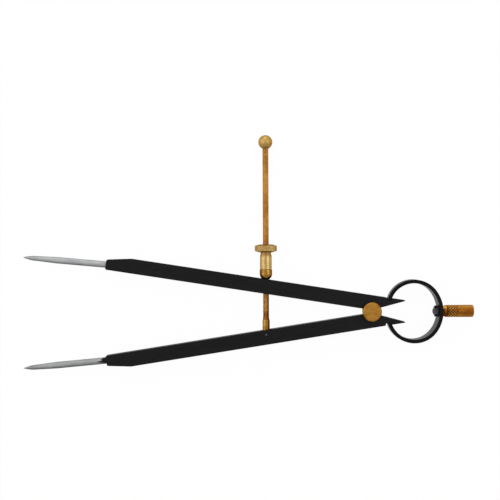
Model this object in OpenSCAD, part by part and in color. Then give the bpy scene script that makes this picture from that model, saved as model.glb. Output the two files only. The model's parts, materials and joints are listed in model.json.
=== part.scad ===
// Spring divider: two flat legs with needle points turn on a brass spool.
// A flat bow spring squeezes the tails and so presses the points apart.
// A knurled nut on a swinging screw holds the legs at the gap it is set to.
// Sizes are in millimetres. The origin is on the spool's axis at its rear face.
// +X runs to the handle, +Y to the nut's side, +Z up from the table it lies on.

/* [Legs] */
// Distance from the spool's axis to the tip of a point, along the leg
reach = 153.3; // [130:0.1:180]
// Width of a leg
leg_w = 6.35; // [5.6:0.05:7.5]
// Thickness of a leg
leg_t = 4.8; // [4.2:0.1:6.2]
// Distance of a leg's inner edge from the line through the spool's axis
leg_gap = 0.68; // [0.5:0.01:1]
// Angle between each leg and the centre line, as drawn
half_angle = 8.85; // [6:0.05:11]
// The same angle with the points closed
closed_angle = 0.15; // [0.15:0.05:2]
// The same angle with the points fully open
open_angle = 25.35; // [18:0.05:25.5]
// Angle of the bevel that sharpens a tail
tail_bevel = 23.65; // [23.65:0.05:28]
// Thickness left at the tip of a tail
tail_tip = 0.4; // [0.2:0.05:0.6]
// Width of a leg at its point end
leg_end_w = 4.45; // [4:0.05:5]
// Length over which the outer edge narrows to that width
leg_taper = 10.3; // [5:0.1:20]
// Chamfer on the corners of the point end
leg_chamfer = 0.4; // [0.1:0.05:0.8]

/* [Points] */
// Length of a point that stands out of its leg
point_out = 36.3; // [25:0.1:45]
// Diameter of a point where it leaves the leg
point_root_d = 2.85; // [2.6:0.05:3.2]
// Diameter of a point where its nose starts
point_neck_d = 2.15; // [1.6:0.05:2.2]
// Length over which a point narrows to that diameter
point_taper = 8.5; // [4:0.1:12]
// Length of the nose that is ground to the tip
point_nose = 6; // [4:0.1:12]
// Diameter left at the tip
point_tip_d = 0.16; // [0.1:0.02:0.4]
// Distance of a point's axis from the leg's inner edge, at the leg's end
point_inset = 2.22; // [2:0.01:2.5]
// Distance of the tip from the line through the spool's axis
tip_offset = 0.6; // [0.6:0.01:0.9]
// Diameter of the tang that is pressed into the leg
tang_d = 2.2; // [1.6:0.05:2.4]
// Length of the tang
tang_len = 10; // [6:0.1:14]

/* [Spool] */
// Diameter of the spool's front head
spool_head_d = 8.2; // [7:0.05:9]
// Diameter of the spool's rear head
spool_back_d = 6.6; // [6:0.05:8.2]
// Thickness of a head
spool_head_t = 2.4; // [2.3:0.05:3]
// Chamfer on the rim of a head
spool_chamfer = 0.45; // [0.1:0.05:0.8]
// Diameter of the core that the legs turn on
spool_core_d = 5; // [4:0.05:5.6]

/* [Bow spring] */
// Distance from the spool's axis to the outside of the bow's back
bow_reach = 30.8; // [29:0.1:34]
// Thickness of the band
bow_t = 1.6; // [1.2:0.05:1.8]
// Width of the band at the back
bow_w = 8; // [6.5:0.1:8.4]
// Width of the band at its ends
bow_end_w = 4.4; // [3.5:0.1:5]
// Outer radius of the back
bow_back_r = 15.2; // [14.5:0.1:16]
// Outer radius of the sides
bow_side_r = 11.8; // [11.5:0.1:12.5]
// Angle at which the back's arc meets a side's arc
bow_split = 35.7; // [30:0.1:40]
// Length over which the band narrows towards its ends, along the centre line
bow_taper_len = 18.5; // [10:0.1:18.5]
// How far the centre of a rounded end lies below the leg's outer edge
bow_sink = 0.49; // [0.3:0.01:0.8]
// Step between the band's face and the round nose filed on its end
bow_end_step = 0.1; // [0.05:0.01:0.2]
// Extra width of the notch on the spool's side, at its mouth
notch_front = 0.65; // [0.3:0.05:1]
// Extra width of the notch on the tail's side, at its mouth
notch_back = 0.2; // [0.2:0.05:0.6]
// Depth of the relief filed beside the lower leg's notch, on the spool's side
relief_depth = 1; // [0.8:0.05:1.5]
// Width of that relief at its floor
relief_floor_w = 0.75; // [0.4:0.05:1]
// Width of that relief at its mouth
relief_w = 1.1; // [1:0.05:1.6]

/* [Handle] */
// Diameter of the handle
handle_d = 5.3; // [4.6:0.05:6]
// Length of the handle
handle_len = 13.8; // [11:0.1:18]
// Length of the smooth cone next to the bow
collar_len = 1.75; // [0.8:0.05:2.5]
// Diameter of that cone where it meets the bow
collar_foot_d = 4.1; // [3.6:0.05:4.4]
// Depth of the groove between the cone and the knurled length
collar_groove = 0.15; // [0.05:0.01:0.25]
// Rounding of the free end's rim
handle_round = 0.5; // [0.3:0.05:1]
// How far the free end bulges
handle_dome = 0.35; // [0.1:0.05:0.6]
// Diameter of the screw that holds the handle
bolt_d = 2.8; // [2:0.1:3]
// Length of the screw inside the handle
bolt_in = 8; // [5:0.1:9]
// Width across the flats of the screw's hexagon head
hex_flats = 4.2; // [3.8:0.05:5]
// Height of the hexagon head
hex_h = 1.85; // [1.6:0.05:2.8]
// Diameter of the round flat on top of the head
hex_face_d = 1.4; // [1:0.05:3.8]
// Angle of the chamfer that rounds off the head's corners
hex_crown = 26; // [20:1:30]
// Diameter of the washer under the head
washer_d = 5.2; // [4.9:0.05:6]
// Thickness of the washer
washer_t = 0.3; // [0.2:0.05:0.8]

/* [Adjusting screw] */
// Distance of the eye's pin from the spool's axis, along the leg
pivot_along = 46.7; // [40:0.1:60]
// Distance of the eye's pin from the leg's inner edge
pivot_inset = 2.02; // [1.9:0.01:2.6]
// Diameter of the pin that the eye swings on
pin_d = 1; // [0.8:0.05:1.2]
// Diameter of the screw
screw_d = 2.65; // [2:0.05:2.7]
// Diameter of the eye
eye_d = 3.1; // [3.05:0.01:3.2]
// Length of the eye above its pin
eye_len = 6.5; // [5.5:0.1:8]
// Length of the screw held in the eye
eye_socket = 3.6; // [2:0.1:4]
// Distance of the ball's centre from the pin
ball_up = 83.7; // [75:0.05:100]
// Diameter of the ball
ball_d = 6.1; // [5:0.1:8]
// How far the screw goes into the ball past its centre
ball_socket = 0.8; // [0.2:0.1:1.2]

/* [Adjusting nut] */
// Diameter of the seat under the nut
seat_d = 5.4; // [5.1:0.05:6]
// Length of the seat above the centre of its round nose
seat_len = 1.9; // [1:0.05:3]
// Diameter of the nut's barrel
barrel_d = 5.1; // [4.8:0.05:5.5]
// Length of the barrel
barrel_len = 6.25; // [4:0.05:8]
// Diameter of the neck between barrel and flange
neck_d = 4.6; // [4:0.05:4.7]
// Length of the neck
neck_len = 1.15; // [0.8:0.05:2]
// Diameter of the knurled flange
flange_d = 9.6; // [7.5:0.1:9.6]
// Length of the flange
flange_len = 3.5; // [2.5:0.05:5]
// Height of the cone on each face of the flange
flange_cone = 0.6; // [0.2:0.05:1]
// Diameter of the flat inside each cone
flange_flat_d = 5.6; // [5.2:0.05:6.5]

/* [Clearances] */
// Radial clearance of a turning fit
run_gap = 0.05; // [0.02:0.01:0.1]
// Gap at a pressed or screwed joint
press_gap = 0.01; // [0.01:0.01:0.03]
// Gap between the legs' faces and the spool's heads
face_gap = 0.1; // [0.05:0.01:0.3]
// Gap between surfaces that bear on each other
bear_gap = 0.05; // [0.03:0.01:0.1]
// Clearance of the screw in its slot, across the leg
slot_side = 0.275; // [0.15:0.005:0.4]
// Clearance of the screw in its slot, along the leg
slot_along = 0.25; // [0.15:0.01:0.5]
// Clearance of the eye in its slot
eye_gap = 0.12; // [0.08:0.01:0.2]

/* [Hidden] */
$fn = 96;

lacquer = "#1d1d1e";
brass = "#b98a3c";
pale_brass = "#cba45a";
ground_steel = "#a9abad";
dark_steel = "#4a4b4d";

// Height of the middle of the legs, where every axis lies
mid_z = spool_head_t + face_gap + leg_t / 2;
// Bare cutters reach this far past the faces that they cut
past = 1;

// A leg is drawn along its own line: first number towards the point, second outwards
leg_end = reach - point_out;
inner = leg_gap;
outer = leg_gap + leg_w;
tail_len = (leg_w - tail_tip) / tan(tail_bevel);
taper_slope = (leg_w - leg_end_w) / leg_taper;
leg_outline = [
    [0, inner],
    [leg_end - leg_chamfer, inner],
    [leg_end, inner + leg_chamfer],
    [leg_end, inner + leg_end_w - leg_chamfer],
    [leg_end - leg_chamfer, inner + leg_end_w + leg_chamfer * taper_slope],
    [leg_end - leg_taper, outer],
    [-tail_len, outer],
    [-tail_len, outer - tail_tip]
];

// The point's axis runs inwards from the leg's end to the tip
point_start = [leg_end, inner + point_inset];
point_tilt = atan((point_start.y - tip_offset) / point_out);
point_len = point_out / cos(point_tilt);
// The shoulder leans with the point, so it starts where its low side clears the leg
point_lift = tan(point_tilt) * point_root_d / 2 + press_gap;
nose_r = (point_neck_d - point_tip_d) / 2;
nose_curve = (point_nose ^ 2 + nose_r ^ 2) / (2 * nose_r);
nose_steps = 6;

// The bow is one arc over the back and one over each side, tangent where they meet
back_x = bow_reach - bow_back_r;
side_centre = [
    back_x + (bow_back_r - bow_side_r) * cos(bow_split),
    (bow_back_r - bow_side_r) * sin(bow_split)
];
side_mid_r = bow_side_r - bow_t / 2;
// The upper side's arc ends where its middle line is bow_sink below the leg's outer edge
side_height = side_centre.x * sin(half_angle) + side_centre.y * cos(half_angle);
bow_lean = (outer - bow_sink - side_height) / side_mid_r;
bow_end = 90 - half_angle + acos(bow_lean);
bow_tip = side_centre + side_mid_r * [cos(bow_end), sin(bow_end)];
// The same tip along and out from its own leg
notch_along = bow_tip.y * sin(half_angle) - bow_tip.x * cos(half_angle);
notch_out = outer - bow_sink;
notch_r = bow_t / 2 + bear_gap;
// The band meets the leg at a slant, so the floor lies below the lower corner of its end
notch_floor = notch_out - bow_lean * bow_t / 2 - bear_gap;
// Radius of the round nose that is filed on each end of the band
bow_nose_r = bow_t / 2 - bow_end_step;

// The washer lies on the two lines where its rim meets the hollow of the bow
washer_x = back_x + sqrt((bow_back_r - bow_t) ^ 2 - (washer_d / 2) ^ 2) - press_gap;
hex_x = washer_x - washer_t;

// The screw swings on its pin and stays square to the centre line
pivot_out = inner + pivot_inset;
screw_x = pivot_out * sin(half_angle) - pivot_along * cos(half_angle);
pivot_y = -(pivot_along * sin(half_angle) + pivot_out * cos(half_angle));
rod_slot_w = screw_d + 2 * slot_side;
eye_slot_r = eye_d / 2 + eye_gap;
// How far out in the upper leg the eye's top comes when the points are closed
eye_top_out = eye_len * cos(closed_angle) - pivot_out * cos(2 * closed_angle)
    - pivot_along * sin(2 * closed_angle);

// The seat's round nose bears on the two long edges of the slot in the upper leg
seat_rise = sqrt((seat_d / 2) ^ 2 - (rod_slot_w / 2) ^ 2) + bear_gap;
seat_y = (outer + seat_rise - screw_x * sin(half_angle)) / cos(half_angle);
nut_y = seat_y + seat_len + bear_gap;
nut_bore_r = screw_d / 2 + run_gap;
nose_arc_steps = 8;

// The rim's rounding turns this far, and a shallow dome closes the rest of the free end
handle_round_sweep = 75;
handle_round_steps = 4;
handle_dome_steps = 4;

// Points on an arc about a centre
function arc(centre, r, from, to, steps) = [
    for (i = [0 : steps])
        let (a = from + (to - from) * i / steps)
            centre + r * [cos(a), sin(a)]
];

// Where the middle of the screw crosses the leg at a distance out from the spool's line
function screw_along(out, angle) = pivot_along + (out - pivot_out) * tan(angle);

// Half the length of leg that a bar of this radius covers when it crosses at this angle
function crossing(r, angle) = r / cos(angle);

module on_lower_leg() {
    translate([0, 0, mid_z])
        rotate([0, 0, 180 + half_angle])
            children();
}

module on_upper_leg() {
    mirror([0, 1, 0])
        on_lower_leg()
            children();
}

// Places a shape that stands on +Z so that it stands along the screw instead
module on_screw(y) {
    translate([screw_x, y, mid_z])
        rotate([-90, 0, 0])
            children();
}

// Places a shape that stands on +Z so that it stands along the handle's axis
module on_handle(x) {
    translate([x, 0, mid_z])
        rotate([0, 90, 0])
            children();
}

// Places a shape that stands on +Z so that it stands along the point's axis
module on_point() {
    translate(point_start)
        rotate([0, 0, -point_tilt])
            rotate([0, 90, 0])
                children();
}

module bow_notch() {
    mouth = outer + past;
    rise = (mouth - notch_floor) / (outer - notch_floor);
    front = notch_along + notch_r;
    back = notch_along - notch_r;
    translate([0, 0, -leg_t / 2 - past])
        linear_extrude(leg_t + 2 * past)
            polygon([
                [back, notch_floor],
                [front, notch_floor],
                [front + notch_front * rise, mouth],
                [back - notch_back * rise, mouth]
            ]);
    translate([notch_along, notch_out, -leg_t / 2 - past])
        cylinder(h = leg_t + 2 * past, r = bow_nose_r + bear_gap);
}

// Beside the lower notch the leg is filed away, so that the band's end can be seen
module notch_relief() {
    front = notch_along + notch_r;
    slant = (relief_w - relief_floor_w) / relief_depth;
    translate([0, 0, -leg_t / 2 - past])
        linear_extrude(leg_t + 2 * past)
            polygon([
                [front, notch_floor],
                [front + relief_floor_w, outer - relief_depth],
                [front + relief_w + slant * past, outer + past],
                [front, outer + past]
            ]);
}

module leg_blank() {
    difference() {
        translate([0, 0, -leg_t / 2])
            linear_extrude(leg_t)
                polygon(leg_outline);
        translate([0, 0, -leg_t / 2 - past])
            cylinder(h = leg_t + 2 * past, d = spool_core_d + 2 * run_gap);
        bow_notch();
        on_point()
            translate([0, 0, -tang_len - press_gap])
                cylinder(h = tang_len + past, d = tang_d + 2 * press_gap);
    }
}

// The screw leans as the legs open, so its slot widens from a waist at the pin's height
module rod_slot() {
    r = screw_d / 2 + slot_along;
    low = inner - past;
    high = outer + past;
    waist = crossing(r, open_angle);
    translate([0, 0, -rod_slot_w / 2])
        linear_extrude(rod_slot_w)
            polygon([
                [screw_along(low, open_angle) - crossing(r, open_angle), low],
                [screw_along(low, closed_angle) + crossing(r, closed_angle), low],
                [pivot_along + waist, pivot_out],
                [screw_along(high, open_angle) + crossing(r, open_angle), high],
                [screw_along(high, closed_angle) - crossing(r, closed_angle), high],
                [pivot_along - waist, pivot_out]
            ]);
}

module eye_slot() {
    low = inner - past;
    translate([0, 0, -eye_slot_r]) {
        linear_extrude(2 * eye_slot_r)
            polygon([
                [screw_along(low, open_angle) - crossing(eye_slot_r, open_angle), low],
                [screw_along(low, closed_angle) + crossing(eye_slot_r, closed_angle), low],
                [pivot_along + eye_slot_r, pivot_out],
                [pivot_along - crossing(eye_slot_r, open_angle), pivot_out + eye_gap]
            ]);
        translate([pivot_along, pivot_out, 0])
            cylinder(h = 2 * eye_slot_r, r = eye_slot_r);
    }
}

// With the points closed the top of the eye stands in the mouth of the upper leg's slot
module eye_pocket() {
    half = eye_slot_r + eye_gap;
    low = inner - past;
    high = max(inner, eye_top_out + eye_gap);
    translate([pivot_along - half, low, -eye_slot_r])
        cube([2 * half, high - low, 2 * eye_slot_r]);
}

module upper_leg() {
    color(lacquer)
        on_upper_leg()
            difference() {
                leg_blank();
                rod_slot();
                eye_pocket();
            }
}

module lower_leg() {
    color(lacquer)
        on_lower_leg()
            difference() {
                leg_blank();
                notch_relief();
                eye_slot();
                translate([pivot_along, pivot_out, -leg_t / 2 - past])
                    cylinder(h = leg_t + 2 * past, d = pin_d + 2 * press_gap);
            }
}

// A needle on a tang: a plain shank, a slow taper, then a nose ground to the tip on an arc
module point_needle() {
    nose_base = point_len - point_nose;
    nose = [
        for (i = [0 : nose_steps])
            let (z = point_nose * i / nose_steps)
                [point_neck_d / 2 - nose_curve + sqrt(nose_curve ^ 2 - z ^ 2), nose_base + z]
    ];
    rotate_extrude()
        polygon(concat(
            [[0, -tang_len], [tang_d / 2, -tang_len], [tang_d / 2, point_lift]],
            [[point_root_d / 2, point_lift], [point_root_d / 2, nose_base - point_taper]],
            nose,
            [[0, point_len]]
        ));
}

module upper_point() {
    color(ground_steel)
        on_upper_leg()
            on_point()
                point_needle();
}

module lower_point() {
    color(ground_steel)
        on_lower_leg()
            on_point()
                point_needle();
}

module fulcrum_spool() {
    head_r = spool_head_d / 2;
    back_r = spool_back_d / 2;
    core_r = spool_core_d / 2;
    top = 2 * mid_z;
    color(brass)
        rotate_extrude()
            polygon([
                [0, 0],
                [back_r - spool_chamfer, 0],
                [back_r, spool_chamfer],
                [back_r, spool_head_t],
                [core_r, spool_head_t],
                [core_r, top - spool_head_t],
                [head_r, top - spool_head_t],
                [head_r, top - spool_chamfer],
                [head_r - spool_chamfer, top],
                [0, top]
            ]);
}

// A stretch of the band, bent to an outer radius between two angles
module band(r, from, to) {
    rotate([0, 0, from])
        rotate_extrude(angle = to - from)
            translate([r - bow_t, -bow_w / 2])
                square([bow_t, bow_w]);
}

module bow_side() {
    translate(side_centre)
        band(bow_side_r, bow_split, bow_end);
    translate(bow_tip)
        cylinder(h = bow_w, r = bow_nose_r, center = true);
}

// Seen from the side, the band narrows from its back to its ends
module bow_taper() {
    tip_x = bow_tip.x - bow_t / 2;
    full_x = tip_x + bow_taper_len;
    across = 2 * (side_centre.y + bow_side_r + past);
    rotate([90, 0, 0])
        linear_extrude(across, center = true)
            polygon([
                [tip_x - past, -bow_end_w / 2],
                [tip_x, -bow_end_w / 2],
                [full_x, -bow_w / 2],
                [bow_reach + past, -bow_w / 2],
                [bow_reach + past, bow_w / 2],
                [full_x, bow_w / 2],
                [tip_x, bow_end_w / 2],
                [tip_x - past, bow_end_w / 2]
            ]);
}

module bow_spring() {
    color(lacquer)
        translate([0, 0, mid_z])
            difference() {
                intersection() {
                    union() {
                        translate([back_x, 0, 0])
                            band(bow_back_r, -bow_split, bow_split);
                        bow_side();
                        mirror([0, 1, 0])
                            bow_side();
                    }
                    bow_taper();
                }
                translate([bow_reach - bow_t - past, 0, 0])
                    rotate([0, 90, 0])
                        cylinder(h = bow_t + 2 * past, d = bolt_d + 4 * run_gap);
            }
}

module handle() {
    r = handle_d / 2;
    knurl_start = collar_len + 2 * collar_groove;
    rim_r = r - handle_round * (1 - cos(handle_round_sweep));
    rim_z = handle_len - handle_dome * (rim_r / r) ^ 2;
    round_centre = [r - handle_round, rim_z - handle_round * sin(handle_round_sweep)];
    dome = [
        for (i = [1 : handle_dome_steps])
            let (out = rim_r * (1 - i / handle_dome_steps))
                [out, handle_len - handle_dome * (out / r) ^ 2]
    ];
    color(brass)
        on_handle(bow_reach + press_gap)
            difference() {
                rotate_extrude()
                    polygon(concat(
                        [
                            [0, 0],
                            [collar_foot_d / 2, 0],
                            [r, collar_len],
                            [r - collar_groove, collar_len + collar_groove],
                            [r, knurl_start]
                        ],
                        arc(round_centre, handle_round, 0, handle_round_sweep, handle_round_steps),
                        dome
                    ));
                translate([0, 0, -past])
                    cylinder(h = past + bolt_in + press_gap, d = bolt_d + 2 * press_gap);
            }
}

module handle_screw() {
    corner_d = hex_flats / cos(30);
    crown_d = hex_face_d + 2 * hex_h / tan(hex_crown);
    shank = bow_reach + bolt_in - hex_x;
    color(dark_steel)
        on_handle(hex_x)
            union() {
                intersection() {
                    translate([0, 0, -hex_h])
                        rotate([0, 0, 30])
                            cylinder(h = hex_h, d = corner_d, $fn = 6);
                    translate([0, 0, -hex_h])
                        cylinder(h = hex_h, d1 = hex_face_d, d2 = crown_d);
                }
                translate([0, 0, -hex_h / 2])
                    cylinder(h = hex_h / 2 + shank, d = bolt_d);
            }
}

module handle_washer() {
    color(dark_steel)
        on_handle(hex_x + press_gap)
            difference() {
                cylinder(h = washer_t - press_gap, d = washer_d);
                translate([0, 0, -past])
                    cylinder(h = washer_t + 2 * past, d = bolt_d + 2 * run_gap);
            }
}

module adjusting_screw() {
    bottom = eye_len - eye_socket;
    color(brass)
        on_screw(pivot_y + bottom)
            cylinder(h = ball_up + ball_socket - bottom, d = screw_d);
}

module screw_ball() {
    color(pale_brass)
        on_screw(pivot_y + ball_up)
            difference() {
                sphere(d = ball_d);
                translate([0, 0, -ball_d])
                    cylinder(h = ball_d + ball_socket + press_gap, d = screw_d + 2 * press_gap);
            }
}

// A ferrule on the screw's foot, with a ball end drilled for the pin
module screw_eye() {
    r = eye_d / 2;
    chamfer = r - screw_d / 2 - run_gap;
    color(brass)
        difference() {
            on_screw(pivot_y) {
                sphere(r);
                translate([0, 0, r / 2])
                    cylinder(h = eye_len - chamfer - r / 2, r = r);
                translate([0, 0, eye_len - chamfer])
                    cylinder(h = chamfer, r1 = r, r2 = r - chamfer);
            }
            on_screw(pivot_y + eye_len - eye_socket - press_gap)
                cylinder(h = eye_socket + past, d = screw_d + 2 * press_gap);
            translate([screw_x, pivot_y, mid_z - eye_d])
                cylinder(h = 2 * eye_d, d = pin_d + 2 * run_gap);
        }
}

module eye_pin() {
    color(ground_steel)
        on_lower_leg()
            translate([pivot_along, pivot_out, -leg_t / 2])
                cylinder(h = leg_t, d = pin_d);
}

module adjusting_nut() {
    neck_z = barrel_len;
    flange_z = barrel_len + neck_len;
    top = flange_z + flange_len;
    color(pale_brass)
        on_screw(nut_y)
            rotate_extrude()
                polygon([
                    [nut_bore_r, 0],
                    [barrel_d / 2, 0],
                    [barrel_d / 2, neck_z],
                    [neck_d / 2, neck_z],
                    [neck_d / 2, flange_z],
                    [flange_flat_d / 2, flange_z],
                    [flange_d / 2, flange_z + flange_cone],
                    [flange_d / 2, top - flange_cone],
                    [flange_flat_d / 2, top],
                    [nut_bore_r, top]
                ]);
}

// A collar with a round nose, so that it can rock on the leg as the leg swings
module nut_seat() {
    r = seat_d / 2;
    bore = acos(nut_bore_r / r);
    color(brass)
        on_screw(seat_y)
            rotate_extrude()
                polygon(concat(
                    [[nut_bore_r, seat_len]],
                    arc([0, 0], r, -bore, 0, nose_arc_steps),
                    [[r, seat_len]]
                ));
}

upper_leg();
lower_leg();
upper_point();
lower_point();
fulcrum_spool();
bow_spring();
handle();
handle_screw();
handle_washer();
adjusting_screw();
screw_ball();
screw_eye();
eye_pin();
adjusting_nut();
nut_seat();
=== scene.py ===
"""Looks of a flat-leg spring divider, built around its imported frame.

Every length is in metres in the part's frame: +X to the handle, +Y to the nut and ball,
+Z up from the table. Sizes written in millimetres are multiplied by MM. The sizes and finishes
come first, then the shapes, the materials, the pieces one by one, the stage and the camera.
"""

import json
import math

import bmesh
import bpy
import numpy as np
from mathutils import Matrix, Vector


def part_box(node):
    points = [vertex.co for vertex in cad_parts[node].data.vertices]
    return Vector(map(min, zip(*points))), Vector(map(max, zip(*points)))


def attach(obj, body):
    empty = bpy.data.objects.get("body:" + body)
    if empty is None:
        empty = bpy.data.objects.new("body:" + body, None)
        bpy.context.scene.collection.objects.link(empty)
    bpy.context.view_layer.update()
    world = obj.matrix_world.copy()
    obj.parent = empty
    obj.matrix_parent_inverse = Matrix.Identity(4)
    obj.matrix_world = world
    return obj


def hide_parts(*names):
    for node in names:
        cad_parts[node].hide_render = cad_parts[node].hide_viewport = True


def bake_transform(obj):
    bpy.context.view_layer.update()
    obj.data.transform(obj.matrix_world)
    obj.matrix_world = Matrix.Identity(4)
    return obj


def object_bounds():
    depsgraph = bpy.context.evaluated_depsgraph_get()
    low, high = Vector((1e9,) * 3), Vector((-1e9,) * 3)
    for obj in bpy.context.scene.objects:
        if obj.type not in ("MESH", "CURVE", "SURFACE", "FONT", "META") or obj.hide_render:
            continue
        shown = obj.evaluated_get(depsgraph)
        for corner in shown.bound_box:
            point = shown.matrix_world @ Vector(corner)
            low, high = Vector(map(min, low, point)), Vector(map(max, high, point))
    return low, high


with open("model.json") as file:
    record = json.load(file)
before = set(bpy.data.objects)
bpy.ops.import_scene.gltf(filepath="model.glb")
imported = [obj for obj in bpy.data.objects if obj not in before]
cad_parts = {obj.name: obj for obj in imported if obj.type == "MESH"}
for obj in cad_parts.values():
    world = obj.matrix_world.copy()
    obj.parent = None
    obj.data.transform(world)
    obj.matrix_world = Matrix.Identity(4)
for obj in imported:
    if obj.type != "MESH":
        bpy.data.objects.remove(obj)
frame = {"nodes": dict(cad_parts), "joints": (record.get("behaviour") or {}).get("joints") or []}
cad_low, cad_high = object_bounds()

MM = 0.001
DEG = math.pi / 180
ALONG_X = (1, 0, 0)
ALONG_Y = (0, 1, 0)
ALONG_Z = (0, 0, 1)
SIDES = ((1, "upper"), (-1, "lower"))

# Sizes that the frame's boxes don't give

# Fits and small rounds
PRESS_GAP = 0.01 * MM
SMALL_ROUND = 0.1 * MM
SHOULDER_ROUND = 0.12 * MM

# Legs
HALF_ANGLE = 8.85 * DEG  # of each leg to the centre line
LEG_INNER = 0.68 * MM  # of its inner edge from a line through the fulcrum
LEG_WIDTH = 6.35 * MM
LEG_END = 117.0 * MM  # from the fulcrum
LEG_ROUND = 0.12 * MM
PIN_CLEAR = 0.8 * MM  # no edge is rounded this near the pin
NOTCH_X = 7.9 * MM  # middle of the notch for the bow's end
NOTCH_Y = 5.35 * MM
NOTCH_CLEAR = 1.5 * MM
NOTCH_ROOM = 0.25  # share of the round that fits by the notch

# Points
REACH = 153.3 * MM  # from the fulcrum to the tip
TIP_OFFSET = 0.6 * MM  # of the tip from a line through the fulcrum
POINT_INSET = 2.22 * MM  # of the point's axis from the inner edge, at the leg's end
TANG_R = 1.1 * MM
TANG_LEN = 10 * MM
SHANK_R = 1.425 * MM
NECK_R = 1.075 * MM
TIP_R = 0.08 * MM
TAPER_LEN = 8.5 * MM
NOSE_LEN = 6 * MM
NOSE_POINTS = 19
NEEDLE_SPACING = 1.5 * MM
# A point leans in its leg, so its shoulder is lifted to clear the leg's end
SHOULDER_LIFT = (LEG_INNER + POINT_INSET - TIP_OFFSET) / (REACH - LEG_END) * SHANK_R + PRESS_GAP

# Spool
BACK_HEAD_R = 3.3 * MM
HEAD_T = 2.4 * MM
CORE_R = 2.5 * MM
RIM_CHAMFER = 0.45 * MM
SPOOL_SPACING = 0.6 * MM

# Bow spring: a wide arc at the back, then a smaller one on each side to a nose in the leg's notch
BOW_REACH = 30.8 * MM  # from the fulcrum to the outside of its back
BOW_T = 1.6 * MM
BOW_W = 8 * MM
BOW_END_W = 4.4 * MM
BOW_BACK_R = 15.2 * MM
BOW_SIDE_R = 11.8 * MM
BOW_SPLIT = 35.7 * DEG  # where the back's arc ends
BOW_TAPER = 18.5 * MM  # length over which the strip widens from its end
BOW_SINK = 0.49 * MM  # of its end into the leg's outer edge
BOW_NOSE_R = 0.7 * MM
BOW_NOSE_SWEEP = 85 * DEG
BOW_NOSE_POINTS = 9
BOW_CORNER = 0.22 * MM
BOW_CORNER_POINTS = 6
BOW_BACK_STATIONS = 40
BOW_SIDE_STATIONS = 150

# Handle: a coned collar, a groove, a knurled length and a slightly domed top
COLLAR_LEN = 1.75 * MM
COLLAR_FOOT_R = 2.05 * MM
COLLAR_GROOVE = 0.15 * MM
COLLAR_ROUND = 0.06 * MM
COLLAR_ROUND_STEPS = 3
HANDLE_ROUND = 0.5 * MM
HANDLE_ROUND_STEPS = 8
HANDLE_ROUND_SWEEP = 75 * DEG
HANDLE_DOME = 0.35 * MM
HANDLE_DOME_POINTS = 8
HANDLE_SPACING = 0.09 * MM
KNURL_START = COLLAR_LEN + 2 * COLLAR_GROOVE
KNURL_COUNT = 12
KNURL_PITCH = 1.25 * MM
KNURL_DEPTH = 0.25 * MM
KNURL_SIDES = 16  # of the mesh, for each groove round the handle
KNURL_WORN = (0.7, 4.8 * MM, 7.4 * MM)  # share that fingers wore off, and where that grows
BOLT_R = 1.4 * MM
BOLT_IN = 8 * MM
HEX_ROUND = 0.04 * MM
WASHER_BORE = 1.45 * MM

# Adjusting screw, its ball and its ferrule
THREAD_PITCH = 0.5 * MM
THREAD_DEPTH = 0.14 * MM
THREAD_POINTS = 8  # along each pitch
THREAD_LAND = 0.99  # share of the rod's radius outside which the thread is cut
THREAD_INSET = 0.6 * MM  # past the ferrule where it starts, and into the ball where it ends
BALL_STEPS = 48
FERRULE_ROUND = 0.06 * MM
FERRULE_LAND = 0.95  # share of its radius outside which edges are rounded

# Adjusting nut and its seat
BORE_GAP = 0.05 * MM
BARREL_R = 2.55 * MM
BARREL_LEN = 6.25 * MM
NECK_RING_R = 2.3 * MM
FLANGE_LEN = 3.5 * MM
FLANGE_CONE = 0.6 * MM
FLANGE_FLAT_R = 2.8 * MM
FLANGE_COUNT = 44
FLANGE_SIDES = 8  # of the mesh, for each groove round the flange
FLANGE_SPACING = 0.08 * MM
FLANGE_LAND = 0.9  # share of the flange's radius outside which the knurl is cut
FLANGE_KNURL_DEPTH = 0.11 * MM
FLANGE_KNURL_IN = 0.8  # of the cone's length
SEAT_STRAIGHT = 1.9 * MM
SEAT_NOSE_STEPS = 24

# Making of meshes
NEEDLE_SIDES = 64
PIN_SIDES = 32
SPOOL_SIDES = 128
WASHER_SIDES = 72
SCREW_SIDES = 44
BALL_SIDES = 96
SEAT_SIDES = 96
WELD = 1e-7  # points nearer than this are one
COARSE_SPACING = 0.6 * MM
ROUND_STEPS = 4
NEARLY_STRAIGHT = 88 * DEG  # half the angle of a corner that needs no arc
ARC_ROOM = 0.45  # of an edge, the most that one arc takes
FLAT_TURN = 0.3 * DEG
SHARP_TURN = 30 * DEG
ROUND_SEGMENTS = 3
KNURL_STEEPNESS = 1.7
KNURL_RUN_OUT = 0.25  # in pitches
THREAD_RUN_OUT = 2  # in pitches

# Finishes

# Lacquer. Streaks are waves per metre along, across and up, then detail; a bump is strength and height
STREAK_ROUGHNESS = 0.62
LEG_LACQUER = dict(gloss=0.155, rough=(0.38, 0.56))
BOW_LACQUER = dict(gloss=0.085, rough=(0.28, 0.42))
LACQUER_DEEP = (0.0024, 0.0024, 0.0025)
LACQUER_THIN = (0.006, 0.006, 0.0062)
LACQUER_DUST = (0.03, 0.03, 0.03)
BRUSH_DRAG = ((260, 1900, 900), 5.0)
DRAG_SPAN = (0.3, 0.7)
DUST = ((2300, 2900, 2600), 2.0)
DUST_SPAN = (0.70, 0.78)
LACQUER_BUMP = (0.25, 0.04 * MM)

# Patina: the noise's detail and roughness, and the span of it over which metal dulls or stains
DULL_NOISE = (5.0, 0.65)
DULL_SPAN = (0.36, 0.68)
STAIN_NOISE = (3.0, 0.7)
STAIN_SPAN = (0.56, 0.74)
STAIN_FINENESS = 4.3  # times as fine as the dull patches

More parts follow.
